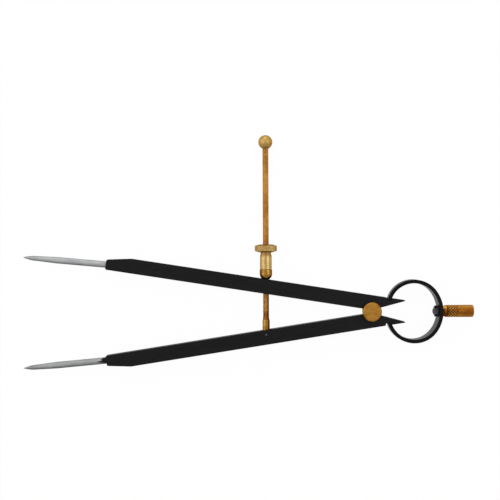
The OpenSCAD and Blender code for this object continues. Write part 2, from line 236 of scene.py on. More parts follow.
# Brass: bright, dull and stained metal, patches per metre, share of stains, lathe rings per metre, roughness
SPOOL_FINISH = dict(bright=(0.50, 0.252, 0.044), dull=(0.33, 0.135, 0.022), stain=(0.16, 0.052, 0.009),
                    patches=300.0, stains=0.35, rings=3800.0, rough=(0.34, 0.5))
HANDLE_FINISH = dict(bright=(0.37, 0.134, 0.015), dull=(0.28, 0.088, 0.009), stain=(0.07, 0.019, 0.003),
                     patches=300.0, stains=0.6, rings=3000.0, rough=(0.3, 0.46))
SCREW_FINISH = dict(bright=(0.61, 0.315, 0.072), dull=(0.45, 0.195, 0.036), stain=(0.17, 0.043, 0.004),
                    patches=240.0, stains=0.55, rings=2600.0, rough=(0.3, 0.46))
BALL_FINISH = dict(bright=(0.585, 0.395, 0.13), dull=(0.48, 0.285, 0.072), stain=(0.32, 0.13, 0.022),
                   patches=420.0, stains=0.35, rings=2600.0, rough=(0.44, 0.58))
FERRULE_FINISH = dict(bright=(0.44, 0.24, 0.05), dull=(0.34, 0.165, 0.026), stain=(0.07, 0.02, 0.002),
                      patches=420.0, stains=0.5, rings=2600.0, rough=(0.34, 0.48))
NUT_FINISH = dict(bright=(0.59, 0.42, 0.175), dull=(0.47, 0.295, 0.096), stain=(0.2, 0.08, 0.018),
                  patches=300.0, stains=0.45, rings=4200.0, rough=(0.34, 0.48))
SEAT_FINISH = dict(bright=(0.44, 0.245, 0.05), dull=(0.32, 0.158, 0.029), stain=(0.1, 0.03, 0.005),
                   patches=420.0, stains=0.6, rings=3800.0, rough=(0.28, 0.4))
# Colour of brass worn bright, also used for painted highlights and painted reflections
WORN_AND_LIT_BRASS = (0.76, 0.46, 0.12)
BRASS_EDGE = (0.34, 0.2, 0.08)
BRASS_BUMP = (0.35, 0.03 * MM)
RING_NOISE = (3.0, 0.6)  # detail and roughness

# Needle steel, and the lacquer that ran onto one needle: each prong's middle, half width and length
STEEL_DULL = (0.40, 0.405, 0.41)
STEEL_BRIGHT = (0.52, 0.525, 0.53)
STEEL_CLOUD = (0.2, 0.2, 0.205)
STEEL_EDGE = (0.36, 0.36, 0.375)
STEEL_ROUGH = (0.5, 0.64)
STEEL_BUMP = (0.3, 0.03 * MM)
# Colour of the painted shade along a needle's lower side and over its nose
NEEDLE_SHADE_COLOUR = (0.05, 0.05, 0.052)
GRIND_LINES = ((210, 3600, 3600), 6.0)
GRIND_SPAN = (0.32, 0.7)
CLOUDS = ((160, 700, 700), 4.0)
CLOUD_SPAN = (0.5, 0.72)
CLOUD_SHARE = 0.45
UPPER_NEEDLE = dict(shade=1.0, low_side=0.6, nose=0.2, lacquered=False)
LOWER_NEEDLE = dict(shade=0.82, low_side=0.85, nose=0.3, lacquered=True)
# Painted shade on the needles: its spread round the lower side, and its span over the nose
LOW_SIDE_SHADE_SPREAD = 75 * DEG
NOSE_SHADE_SPAN = (9 * MM, 3 * MM)  # before the tip, where it starts and where it is full
PAINT_RUN = 1.4 * MM
PAINT_PRONGS = ((0.75 * MM, 0.6 * MM, 1.0 * MM), (-0.2 * MM, 0.7 * MM, 2.7 * MM))
PAINT_RAGGED = 1.2 * MM
PAINT_EDGE = 0.15 * MM
PAINT_COLOUR = (0.006, 0.006, 0.006)

# Dark steel of the pin, the hexagon-head screw and its washer
WORN_STEEL = (0.10, 0.102, 0.106)
OILED_STEEL = (0.045, 0.046, 0.048)
STEEL_SPOTS = (0.016, 0.015, 0.014)
DARK_METALLIC = 0.85
DARK_PATCHES = 700.0
DARK_STAINS = 0.7
DARK_ROUGH = (0.34, 0.5)
DARK_GRAIN = ((4200, 4200, 4200), 3.0)
DARK_BUMP = (0.25, 0.03 * MM)
PIN_SHADE = 1.0
BOLT_SHADE = 0.77

# Grime and painted light, as a share: 1 where dirt and painted shade are darkest, 0 on plain metal,
# -1 where wear and painted highlights are brightest. Each name below says which it is.
# On one side of a piece it is a share and a spread of angle, and along it a share and where that fades
# Darkening of the spool's front rim
RIM_DARKENING = 0.3
# Darkening in the handle's collar groove: its share, how far it laps, its blend and its clearance from the
# bolt's hole
GROOVE_DARKENING = 0.6
GROOVE_LAP = (0.1 * MM, 0.25 * MM)  # onto the collar and onto the knurl
GROOVE_BLEND = 0.15 * MM
GROOVE_CLEAR = 0.2 * MM  # from the bolt's hole
DIAMOND_DIRT_SPAN = (0.2, 0.5)
DIAMOND_TIP_SPAN = (0.2, 0.45)
DIAMOND_RUB = 0.55
DIAMOND_RUB_END = 6.5 * MM
DIAMOND_RUB_BLEND = 1.2 * MM
COLLAR_BLEND = 0.1 * MM
# Painted highlight along the handle's top, stronger on the collar
TOP_HIGHLIGHT = 0.4
COLLAR_TOP_HIGHLIGHT = 0.25
TOP_SPREAD = 75 * DEG
# Painted dark reflection along the handle's front
FRONT_DARK_REFLECTION = (0.28, 32 * DEG)
# Painted shade under the collar, and a painted reflection of bounce light under the rest of the handle
COLLAR_UNDER_SHADE = 0.75
UNDER_BOUNCE_REFLECTION = 0.16
BELOW_SPREAD = 55 * DEG
THREAD_DIRT = 0.2
# Painted shade on the rod where it meets the ferrule, the nut and the ball
SHADE_BY_FERRULE = (0.75, 2 * MM, 4.5 * MM)
SHADE_BY_NUT = 0.35
SHADE_BY_NUT_LEN = 4 * MM
SHADE_BY_NUT_BLEND = 1.6 * MM
SHADE_BY_BALL = 0.3
SHADE_BY_BALL_LEN = 3 * MM
# Painted shade down the rod's right and left sides between the legs, and where it fades
SHADE_RIGHT = (0.8, 90 * DEG)
SHADE_LEFT = (0.4, 60 * DEG)
SHADE_FADE = (1, 12 * MM, 15 * MM)
# Painted shade on the ball's lower half, growing towards its socket
BALL_LOWER_SHADE = (0.2, -0.6, 0.2)  # in radii from its middle
BALL_SOCKET_SHADE = (0.6, -0.95, -0.55)
# Painted shade on the ferrule's side towards the fulcrum
FERRULE_SHADE = (0.85, 105 * DEG)
# Painted shade in the nut's neck under the flange and dirt in its knurl, then how far the shade laps and
# blends
NECK_SHADE_AND_KNURL_DIRT = 0.4
NECK_LAP = 0.2 * MM
NECK_BLEND = 0.25 * MM
# Painted shade on the seat's nose and down its left and right sides
SEAT_NOSE_SHADE = (0.5, -0.9, -0.2)  # in radii from its middle
SEAT_SIDE_SHADE = (0.55, 70 * DEG)

# Stage: the floor, the sky's dim and bright sides, and each soft light's place, size and watts
FLOOR_HALF = 20.0
FLOOR_DROP = 0.02 * MM
FLOOR_SHOWN = 0.97  # share of plain white that the camera and reflections see
FLOOR_COLOUR = (0.92, 0.92, 0.92)
SKY_DIM = (0.57, 0.57, 0.575)
SKY_BRIGHT = (0.68, 0.68, 0.675)
SKY_SPAN = (-0.9, 0.9)
SOFTBOXES = (("left_softbox", (-0.48, 0.12, 0.38), 0.66, 1.55),
             ("right_softbox", (0.40, 0.08, 0.46), 0.38, 0.85),
             ("top_softbox", (-0.05, 0.56, 0.20), 0.40, 0.6))

# Camera
PICTURE_HALF_WIDTH = 108.25 * MM  # at the legs' front
PICTURE_MIDDLE = (-52.62 * MM, 26.92 * MM)
CAMERA_HEIGHT = 400 * MM  # above the legs' front
CAMERA_ROLL = -0.25 * DEG
CAMERA_CLIP = 10 * MM
SENSOR_WIDTH = 36


# Sizes and places that the frame gives

def turned_box(node, axis):
    """Where a turned node starts along the axis of that letter, its length from there and its radius."""
    low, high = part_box(node)
    across = "y" if axis == "x" else "x"
    start = getattr(low, axis)
    return start, getattr(high, axis) - start, (getattr(high, across) - getattr(low, across)) / 2


SPOOL_START, SPOOL_LEN, HEAD_R = turned_box("fulcrum_spool", "z")
PIN_START, PIN_LEN, PIN_R = turned_box("eye_pin", "z")
HANDLE_START, HANDLE_LEN, HANDLE_R = turned_box("handle", "x")
WASHER_START, WASHER_LEN, WASHER_R = turned_box("handle_washer", "x")
SCREW_START, SCREW_LEN, SCREW_R = turned_box("adjusting_screw", "y")
BALL_START, BALL_LEN, BALL_R = turned_box("screw_ball", "y")
FERRULE_START, FERRULE_LEN, FERRULE_R = turned_box("screw_eye", "y")
NUT_START, NUT_LEN, FLANGE_R = turned_box("adjusting_nut", "y")
SEAT_START, SEAT_LEN, SEAT_R = turned_box("nut_seat", "y")
MID_Z = SPOOL_START + SPOOL_LEN / 2
FULCRUM = Vector((0, 0, MID_Z))
PIN = Vector(next(j["pos_m"] for j in frame["joints"] if j["name"] == "screw_swing"))
LEG_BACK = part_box("upper_leg")[0].z
LEG_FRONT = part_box("upper_leg")[1].z


# Shapes

def smooth_step(low, high, x):
    """0 below low, 1 above high, with a smooth rise between."""
    t = np.clip((x - low) / (high - low), 0, 1)
    return t * t * (3 - 2 * t)


def fading(x, share, start, end):
    """The share below start and 0 above end, with a smooth fall between."""
    return share * (1 - smooth_step(start, end, x))


def between(start, end, run_out, x):
    """1 from start to end and 0 outside, with a smooth run-out inside each."""
    return smooth_step(start, start + run_out, x) * fading(x, 1, end - run_out, end)


def triangle_wave(x):
    """0 at whole numbers and 1 halfway between them, with straight flanks."""
    return 1 - np.abs(2 * (x - np.floor(x)) - 1)


def rounded(corners, radius, steps=ROUND_STEPS):
    """A flat outline with each inner corner replaced by an arc.

    corners is a list of (along, out) points. At each inner corner an arc of the given radius
    touches both edges; where an edge is too short for it, the arc shrinks to fit.
    """
    points = np.array(corners, float)
    result = [points[:1]]
    for before, corner, after in zip(points[:-2], points[1:-1], points[2:]):
        back = before - corner
        ahead = after - corner
        room = min(np.linalg.norm(back), np.linalg.norm(ahead))
        back = back / np.linalg.norm(back)
        ahead = ahead / np.linalg.norm(ahead)
        half = math.acos(np.clip(back @ ahead, -1, 1)) / 2
        if half > NEARLY_STRAIGHT:
            result.append(corner[None])
            continue
        cut = min(radius / math.tan(half), ARC_ROOM * room)
        r = cut * math.tan(half)
        middle = corner + (back + ahead) / np.linalg.norm(back + ahead) * r / math.sin(half)
        first = corner + back * cut - middle
        last = corner + ahead * cut - middle
        turn = math.atan2(first[0] * last[1] - first[1] * last[0], first @ last)
        angle = np.linspace(0, turn, steps + 1)[:, None]
        crossed = np.array([-first[1], first[0]])
        result.append(middle + np.cos(angle) * first + np.sin(angle) * crossed)
    result.append(points[-1:])
    return np.concatenate(result)


def arc(centre, radius, start, end, steps):
    """Points on a circle about a centre, from one angle to another."""
    angle = np.linspace(start, end, steps + 1)
    return np.column_stack([centre[0] + radius * np.cos(angle), centre[1] + radius * np.sin(angle)])


def refined(profile, spacing, beyond=0.0):
    """The same outline with extra points, so that no edge is longer than the spacing.

    Edges nearer the axis than beyond keep to the coarse spacing instead.
    """
    pieces = []
    for a, b in zip(profile[:-1], profile[1:]):
        longest = spacing if max(a[1], b[1]) >= beyond else COARSE_SPACING
        count = max(1, int(math.ceil(np.linalg.norm(b - a) / longest)))
        share = np.arange(count)[:, None] / count
        pieces.append(a + (b - a) * share)
    pieces.append(profile[-1:])
    return np.concatenate(pieces)


def axis_frame(direction):
    """Three unit columns: two across the direction, then the direction itself."""
    along = np.array(direction, float)
    along /= np.linalg.norm(along)
    across = np.cross(along, ALONG_Z)
    if not across.any():
        across = np.array(ALONG_X, float)
    across /= np.linalg.norm(across)
    return np.column_stack([across, np.cross(along, across), along])


def turn_towards(direction, side):
    """The angle round an axis at which a turned piece faces a given way."""
    across, up, _ = axis_frame(direction).T
    return math.atan2(np.dot(up, side), np.dot(across, side))


def one_side(turn, towards, share, spread):
    """The share on the side of a turned piece that faces one way, and 0 past the spread of angle.

    It is whole to a third of the spread and falls smoothly from there.
    """
    off = np.arccos(np.clip(np.cos(turn - towards), -1, 1))
    return fading(off, share, spread / 3, spread)


def grid_faces(rows, columns, close_rows=False):
    """Quads of a grid whose columns run round and join up; the rows join up too if asked."""
    starts = np.arange(rows if close_rows else rows - 1)
    row, column = np.meshgrid(starts, np.arange(columns), indexing="ij")
    next_row = (row + 1) % rows
    next_column = (column + 1) % columns
    quads = [row * columns + column, row * columns + next_column,
             next_row * columns + next_column, next_row * columns + column]
    return np.stack(quads, -1).reshape(-1, 4).tolist()


def add_object(name, data):
    """A new object in the scene."""
    made = bpy.data.objects.new(name, data)
    bpy.context.scene.collection.objects.link(made)
    return made


def keep_grime_and_light(mesh, grime):
    """Keeps grime and painted light as an attribute of a mesh's points, for the material to read."""
    mesh.attributes.new("grime", "FLOAT", "POINT").data.foreach_set("value", grime.ravel())


def merged(mesh):
    """A mesh opened for changes, with the points that coincide made one."""
    shell = bmesh.new()
    shell.from_mesh(mesh)
    bmesh.ops.remove_doubles(shell, verts=shell.verts, dist=WELD)
    return shell


def mesh_piece(name, points, faces, grime=None):
    """An object from an array of points and a list of faces, merged at its poles and turned outwards.

    Faces of more than four corners are flat ends, and the others are shaded as one curve.
    """
    mesh = bpy.data.meshes.new(name)
    mesh.from_pydata(points.tolist(), [], faces)
    if grime is not None:
        keep_grime_and_light(mesh, grime)
    shell = merged(mesh)
    bmesh.ops.dissolve_degenerate(shell, edges=shell.edges, dist=WELD)
    bmesh.ops.recalc_face_normals(shell, faces=shell.faces)
    for face in shell.faces:
        face.smooth = len(face.verts) <= 4
    shell.to_mesh(mesh)
    shell.free()
    piece = add_object(name, mesh)
    piece.modifiers.new("even_shading", "WEIGHTED_NORMAL").keep_sharp = True
    return piece


def turned(name, profile, origin, direction, sides, cut=None, depth=0.0, dirt_and_light=None, ring=False):
    """A turned piece: the outline (along, radius) carried round an axis.

    point = origin + along * axis + (radius - depth * share) * (cos, sin across the axis), where the
    share is cut(along, radius, turn). An outline starts and ends on the axis, or closes on itself
    where ring is true. The function for dirt and painted light gives the grime and painted light on a
    point from (along, radius, turn, share).
    """
    profile = np.asarray(profile, float)
    angle = np.arange(sides) * 2 * math.pi / sides
    along, turn = np.meshgrid(profile[:, 0], angle, indexing="ij")
    radius = np.repeat(profile[:, 1:], sides, 1)
    none = np.zeros(radius.shape)
    share = none if cut is None else cut(along, radius, turn)
    grime = none if dirt_and_light is None else dirt_and_light(along, radius, turn, share)
    radius = radius - depth * share
    local = np.stack([radius * np.cos(turn), radius * np.sin(turn), along], -1).reshape(-1, 3)
    points = local @ axis_frame(direction).T + np.array(origin)
    return mesh_piece(name, points, grid_faces(len(profile), sides, ring), grime)


def diamond_knurl(count, pitch, start, end, least_radius, left=None):
    """Cut of two crossed sets of grooves, which leave pointed diamonds, as a share of their depth.

    At (along, turn) the two sets have phases count * turn / 2pi +- along / pitch. The cut is deepest
    where either triangle wave is at zero. It runs out at both ends of the knurl, and it is only made
    where the outline is at least this far from its axis. left(along) is the share that wear left.
    """
    def cut(along, radius, turn):
        around = count * turn / (2 * math.pi)
        crest = np.minimum(triangle_wave(around + along / pitch), triangle_wave(around - along / pitch))
        share = 1 - np.clip(KNURL_STEEPNESS * crest, 0, 1)
        share = share * between(start, end, KNURL_RUN_OUT * pitch, along)
        if left is not None:
            share = share * left(along)
        return np.where(radius > least_radius, share, 0)
    return cut


def screw_thread(pitch, start, end, least_radius):
    """Cut of a rolled right-hand thread, run out at its ends.

    At (along, turn) its share is 0.5 + 0.5 cos(2pi along / pitch - turn), which is 1 at the root.
    """
    def cut(along, radius, turn):
        share = 0.5 + 0.5 * np.cos(2 * math.pi * along / pitch - turn)
        share = share * between(start, end, THREAD_RUN_OUT * pitch, along)
        return np.where(radius > least_radius, share, 0)
    return cut


def broken_copy(name, node, width, dirt_and_light=None, room=None):
    """A merged copy of a CAD node with its sharp edges broken by a small round.

    Where room is given, room(point) is the share of the round's width that fits at a point, and an
    edge takes the smaller share of its ends. The function for dirt and painted light gives the grime
    and painted light on the points from their places.
    """
    mesh = frame["nodes"][node].data.copy()
    mesh.name = name
    mesh.materials.clear()
    shell = merged(mesh)
    bmesh.ops.dissolve_limit(shell, angle_limit=FLAT_TURN, verts=shell.verts, edges=shell.edges)
    for face in shell.faces:
        face.smooth = True
    broken = shell.edges.layers.float.new("bevel_weight_edge")
    for edge in shell.edges:
        edge.smooth = edge.calc_face_angle(math.pi) < SHARP_TURN
        fits = 1.0 if room is None else min(room(end.co) for end in edge.verts)
        edge[broken] = 0.0 if edge.smooth else fits
    shell.to_mesh(mesh)
    shell.free()
    if dirt_and_light is not None:
        points = np.empty(3 * len(mesh.vertices))
        mesh.vertices.foreach_get("co", points)
        keep_grime_and_light(mesh, dirt_and_light(points.reshape(-1, 3)))
    piece = add_object(name, mesh)
    bevel = piece.modifiers.new("broken_edges", "BEVEL")
    bevel.width = width
    bevel.segments = ROUND_SEGMENTS
    bevel.limit_method = "WEIGHT"
    bevel.use_clamp_overlap = False
    bevel.harden_normals = True
    return piece


# Nodes of materials

NUMBER = "NodeSocketFloat"
VECTOR = "NodeSocketVector"
COLOUR = "NodeSocketColor"


def feed(socket, value):
    """Sets a socket to a number, a vector or a colour, or links another socket to it."""
    if isinstance(value, tuple):
        socket.default_value = (*value, 1) if socket.type == "RGBA" else value
    elif isinstance(value, (int, float)):
        socket.default_value = value
    else:
        socket.id_data.links.new(value, socket)


def set_node(node, *values, **settings):
    """Sets a node's properties, and feeds its sockets by name, with _ for a space, or in their order."""
    for key, value in settings.items():
        label = key.replace("_", " ")
        if label in node.inputs:
            feed(node.inputs[label], value)
        else:
            setattr(node, key, value)
    for socket, value in zip(node.inputs, values):
        feed(socket, value)
    return node


def add_node(tree, kind, *values, **settings):
    """A new shader node of a kind, set as set_node does."""
    return set_node(tree.nodes.new("ShaderNode" + kind), *values, **settings)


def object_place(tree):
    """The Object coordinates of the piece."""
    return add_node(tree, "TexCoord").outputs["Object"]


def grime_and_light_mask(tree):
    """The grime and painted light that the piece keeps on its points."""
    made = add_node(tree, "Attribute", attribute_type="GEOMETRY", attribute_name="grime")
    return made.outputs["Fac"]


# The next functions add a node to the tree of the sockets they are given, and return its output

def maths(operation, *values, clamp=False):
    """A sum, product or the like of numbers and sockets."""
    tree = next(value.id_data for value in values if isinstance(value, bpy.types.NodeSocket))
    return add_node(tree, "Math", *values, operation=operation, use_clamp=clamp).outputs[0]


def vector_maths(operation, *values):
    """The number of a dot product or a length, and the vector of any other operation on vectors."""
    made = add_node(values[0].id_data, "VectorMath", *values, operation=operation)
    return made.outputs["Value" if operation in ("DOT_PRODUCT", "LENGTH") else "Vector"]


def ramp(value, low, high):
    """0 where the value is at low or under, 1 at high or over, smooth between."""
    made = add_node(value.id_data, "MapRange", value, low, high, interpolation_type="SMOOTHSTEP")
    return made.outputs["Result"]


def scaled(value, low, high):
    """A value between 0 and 1 brought between low and high."""
    return add_node(value.id_data, "MapRange", value, To_Min=low, To_Max=high).outputs["Result"]


def bump(height, strength, distance):
    """A normal that follows a height."""
    made = add_node(height.id_data, "Bump", Strength=strength, Distance=distance, Height=height)
    return made.outputs["Normal"]


def noise(place, scale, detail, roughness, **settings):
    """Soft noise at a place, between 0 and 1."""
    made = add_node(place.id_data, "TexNoise", **settings)
    return set_node(made, Vector=place, Scale=scale, Detail=detail, Roughness=roughness).outputs["Fac"]


def mixed(factor, first, second):
    """Two colours mixed by a factor; a colour is a triple or a socket."""
    made = add_node(factor.id_data, "Mix", factor, data_type="RGBA")
    feed(made.inputs[6], first)
    feed(made.inputs[7], second)
    return made.outputs[2]


# Effects that the materials share

def new_group(name, inputs, outputs):
    """An empty shader group with named sockets. Returns its tree, what it is given and its result's node."""
    tree = bpy.data.node_groups.new(name, "ShaderNodeTree")
    for label, kind, value in inputs:
        socket = tree.interface.new_socket(name=label, in_out="INPUT", socket_type=kind)
        socket.default_value = value
    for label, kind in outputs:
        tree.interface.new_socket(name=label, in_out="OUTPUT", socket_type=kind)
    return tree, tree.nodes.new("NodeGroupInput").outputs, tree.nodes.new("NodeGroupOutput")


def make_turning_marks():
    """Group: fine rings left by a lathe tool, as a height, from the distance along and out from an axis."""
    tree, given, result = new_group(
        "turning_marks",
        [("Centre", VECTOR, (0, 0, 0)), ("Axis", VECTOR, ALONG_Z), ("Lines", NUMBER, 4000.0)],
        [("Height", NUMBER)])
    offset = vector_maths("SUBTRACT", object_place(tree), given["Centre"])
    along = vector_maths("DOT_PRODUCT", offset, given["Axis"])
    run = add_node(tree, "VectorMath", given["Axis"], operation="SCALE", Scale=along)
    radius = vector_maths("LENGTH", vector_maths("SUBTRACT", offset, run.outputs[0]))
    lines = [maths("MULTIPLY", distance, given["Lines"]) for distance in (along, radius)]
    both = add_node(tree, "CombineXYZ", *lines)
    set_node(result, Height=noise(both.outputs[0], 1.0, *RING_NOISE, noise_dimensions="2D"))
    return tree


def make_streaks():
    """Group: noise drawn out along one direction of the object, between 0 and 1."""
    tree, given, result = new_group(
        "streaks",
        [("Rotation", VECTOR, (0, 0, 0)), ("Scale", VECTOR, (1, 1, 1)), ("Detail", NUMBER, 4.0)],
        [("Value", NUMBER)])
    turn = add_node(tree, "Mapping", object_place(tree), Rotation=given["Rotation"])
    stretch = vector_maths("MULTIPLY", turn.outputs[0], given["Scale"])
    set_node(result, Value=noise(stretch, 1.0, given["Detail"], STREAK_ROUGHNESS))
    return tree


def make_patina():
    """Group: bright metal dulled in soft patches, with small dark stains in the dull places."""
    tree, given, result = new_group(
        "patina",
        [("Bright", COLOUR, (1, 1, 1, 1)), ("Dull", COLOUR, (0.5, 0.5, 0.5, 1)),
         ("Stain", COLOUR, (0.1, 0.1, 0.1, 1)), ("Size", NUMBER, 300.0), ("Stains", NUMBER, 0.5)],
        [("Color", COLOUR), ("Dullness", NUMBER)])
    place = object_place(tree)
    finer = maths("MULTIPLY", given["Size"], STAIN_FINENESS)
    dull = ramp(noise(place, given["Size"], *DULL_NOISE), *DULL_SPAN)
    spots = maths("MULTIPLY", ramp(noise(place, finer, *STAIN_NOISE), *STAIN_SPAN), dull)
    spots = maths("MULTIPLY", spots, given["Stains"])
    toned = mixed(dull, given["Bright"], given["Dull"])
    set_node(result, Color=mixed(spots, toned, given["Stain"]), Dullness=dull)
    return tree


TURNING_MARKS = make_turning_marks()
STREAKS = make_streaks()
PATINA = make_patina()


def place_group(tree, group, **values):
    """A group placed in a material with its own values. Returns its outputs."""
    return add_node(tree, "Group", node_tree=group, **values).outputs


def streaks(tree, angle, scale, detail):
    """Streaks turned by an angle about Z. Returns their value."""
    return place_group(tree, STREAKS, Rotation=(0, 0, angle), Scale=scale, Detail=detail)["Value"]


# Materials

def shaded(colour, shade):
    """A colour made darker or lighter by a factor."""
    return tuple(shade * part for part in colour)


def new_material(name):
    """A material, its tree and its Principled shader."""
    made = bpy.data.materials.new(name)
    made.use_nodes = True
    return made, made.node_tree, made.node_tree.nodes["Principled BSDF"]


def black_lacquer(name, angle, gloss, rough):
    """Satin black lacquer with brush drag along the piece and a few pale specks of dust."""
    made, tree, shader = new_material(name)
    drag = streaks(tree, angle, *BRUSH_DRAG)
    specks = ramp(streaks(tree, angle, *DUST), *DUST_SPAN)
    paint = mixed(ramp(drag, *DRAG_SPAN), LACQUER_DEEP, LACQUER_THIN)
    set_node(shader, Specular_IOR_Level=gloss, Base_Color=mixed(specks, paint, LACQUER_DUST),
             Roughness=scaled(drag, *rough), Normal=bump(drag, *LACQUER_BUMP))
    return made


def turned_brass(name, centre, axis, bright, dull, stain, patches, stains, rings, rough):
    """Lathe-turned brass with soft patches of tarnish, fine tool rings, dark grime in its grooves and
    painted shade where its grime is above 0, and wear and painted highlights where it is below 0.
    """
    made, tree, shader = new_material(name)
    worn = place_group(tree, PATINA, Bright=bright, Dull=dull, Stain=stain, Size=patches, Stains=stains)
    marks = place_group(tree, TURNING_MARKS, Centre=tuple(centre), Axis=axis, Lines=rings)["Height"]
    grime = grime_and_light_mask(tree)
    dirtied_and_shaded = mixed(grime, worn["Color"], stain)
    worn_and_lit = maths("MULTIPLY", grime, -1.0, clamp=True)
    set_node(shader, Metallic=1.0, Specular_Tint=BRASS_EDGE, Base_Color=mixed(worn_and_lit, dirtied_and_shaded, WORN_AND_LIT_BRASS),
             Roughness=scaled(worn["Dullness"], *rough), Normal=bump(marks, *BRASS_BUMP))
    return made


def lacquer_run(tree, angle, root, lines):
    """Mask of lacquer that ran from a leg onto its needle in prongs, with an edge that the lines make ragged.

    At a distance v across the needle the lacquer reaches PAINT_RUN past the root, and further by the
    length of each prong, which falls from its middle to nothing at its half width.
    """
    turn = add_node(tree, "Mapping", object_place(tree), vector_type="TEXTURE", Location=root,
                    Rotation=(0, 0, -angle))
    split = add_node(tree, "SeparateXYZ", turn.outputs[0]).outputs
    past = maths("ADD", split["X"], PAINT_RUN)
    for middle, half, length in PAINT_PRONGS:
        off = maths("ABSOLUTE", maths("SUBTRACT", split["Y"], middle))
        past = maths("ADD", past, maths("MULTIPLY", ramp(off, half, 0), length))
    ragged = maths("MULTIPLY", maths("SUBTRACT", lines, 0.5), PAINT_RAGGED)
    return ramp(maths("ADD", past, ragged), -PAINT_EDGE, PAINT_EDGE)


def ground_steel(name, angle, shade, root=None):
    """Ground steel with lines along the needle, grey clouds, and painted shade as its grime says.

    Where a root is given, lacquer has run onto the needle from there.
    """
    made, tree, shader = new_material(name)
    lines = streaks(tree, angle, *GRIND_LINES)
    cloud = maths("MULTIPLY", ramp(streaks(tree, angle, *CLOUDS), *CLOUD_SPAN), CLOUD_SHARE)
    dull = shaded(STEEL_DULL, shade)
    ground = mixed(ramp(lines, *GRIND_SPAN), dull, shaded(STEEL_BRIGHT, shade))
    colour = mixed(grime_and_light_mask(tree), mixed(cloud, ground, STEEL_CLOUD), NEEDLE_SHADE_COLOUR)
    metallic = 1.0
    if root is not None:
        painted = lacquer_run(tree, angle, root, lines)
        colour = mixed(painted, colour, PAINT_COLOUR)
        metallic = maths("SUBTRACT", 1.0, painted)
    set_node(shader, Metallic=metallic, Specular_Tint=STEEL_EDGE, Base_Color=colour,
             Roughness=scaled(lines, *STEEL_ROUGH), Normal=bump(lines, *STEEL_BUMP))
    return made


def dark_steel(name, shade):
    """Oiled dark steel, slightly worn to grey in patches."""
    made, tree, shader = new_material(name)
    worn = place_group(tree, PATINA, Bright=shaded(WORN_STEEL, shade), Dull=shaded(OILED_STEEL, shade),
                       Stain=shaded(STEEL_SPOTS, shade), Size=DARK_PATCHES, Stains=DARK_STAINS)
    grain = streaks(tree, 0, *DARK_GRAIN)
    set_node(shader, Metallic=DARK_METALLIC, Base_Color=worn["Color"],
             Roughness=scaled(worn["Dullness"], *DARK_ROUGH), Normal=bump(grain, *DARK_BUMP))
    return made


def dress(piece, material, body, node):
    """Gives a finished piece its material and body, and hides the node that it stands for."""
    piece.data.materials.clear()
    piece.data.materials.append(material)
    if body is not None:
        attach(piece, body)
    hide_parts(node)


# Legs

def leg_room(point):
    """Share of the edge round that fits on a leg: none in its slot and holes, little in the bow's notch."""
    within = LEG_BACK + 2 * LEG_ROUND < point.z < LEG_FRONT - 2 * LEG_ROUND
    if within or math.hypot(point.x - PIN.x, point.y - PIN.y) < PIN_CLEAR:
        return 0.0
    by_notch = math.hypot(point.x - NOTCH_X, abs(point.y) - NOTCH_Y) < NOTCH_CLEAR
    return NOTCH_ROOM if by_notch else 1.0


for side, name in SIDES:
    leg_lacquer = black_lacquer(f"{name}_leg_lacquer", side * HALF_ANGLE, **LEG_LACQUER)
    bar = broken_copy(f"{name}_leg_bar", f"{name}_leg", LEG_ROUND, room=leg_room)
    dress(bar, leg_lacquer, f"{name}_leg", f"{name}_leg")


# Points

def on_leg(side, along, out):
    """A point of the frame from a distance along a leg and one outwards; side is +1 for the upper leg."""
    x = -along * math.cos(HALF_ANGLE) + out * math.sin(HALF_ANGLE)
    y = along * math.sin(HALF_ANGLE) + out * math.cos(HALF_ANGLE)
    return np.array((x, side * y, MID_Z))


def needle_outline(length):
    """A tang, a plain shank, a slow taper and a nose.

    Along the nose the radius falls as a long arc that leaves the neck in line with the axis.
    """
    drop = NECK_R - TIP_R
    curve = (NOSE_LEN ** 2 + drop ** 2) / (2 * drop)
    along = np.linspace(0, NOSE_LEN, NOSE_POINTS)
    nose = np.column_stack([length - NOSE_LEN + along, NECK_R - curve + np.sqrt(curve ** 2 - along ** 2)])
    shank = [(-TANG_LEN, 0), (-TANG_LEN, TANG_R), (SHOULDER_LIFT, TANG_R), (SHOULDER_LIFT, SHANK_R),
             (length - NOSE_LEN - TAPER_LEN, SHANK_R), tuple(nose[0])]
    shank = refined(rounded(shank, SHOULDER_ROUND), NEEDLE_SPACING)
    return np.concatenate([shank[:-1], nose, [(length, 0)]])


def needle_painted_shade(length, down, low_side, nose):
    """Painted shade in a line along a needle's lower side, and over its nose."""
    start, full = NOSE_SHADE_SPAN

    def dirt_and_light(along, radius, turn, share):
        over_nose = nose * smooth_step(length - start, length - full, along)
        return np.clip(one_side(turn, down, low_side, LOW_SIDE_SHADE_SPREAD) + over_nose, 0, 1)
    return dirt_and_light


def make_needle(side, name, shade, low_side, nose, lacquered):
    """A steel point on its line from the leg's end to its tip."""
    root = on_leg(side, LEG_END, LEG_INNER + POINT_INSET)
    axis = on_leg(side, REACH, TIP_OFFSET) - root
    length = np.linalg.norm(axis)
    slope = math.atan2(-axis[1], -axis[0])
    steel = ground_steel(f"{name}_needle_steel", -slope, shade, tuple(root) if lacquered else None)
    needle_shade = needle_painted_shade(length, turn_towards(axis, (0, -1, 0)), low_side, nose)
    needle = turned(f"{name}_needle", needle_outline(length), root, axis, NEEDLE_SIDES, dirt_and_light=needle_shade)
    dress(needle, steel, f"{name}_leg", f"{name}_point")


make_needle(1, "upper", **UPPER_NEEDLE)
make_needle(-1, "lower", **LOWER_NEEDLE)

# Pin of the screw's eye

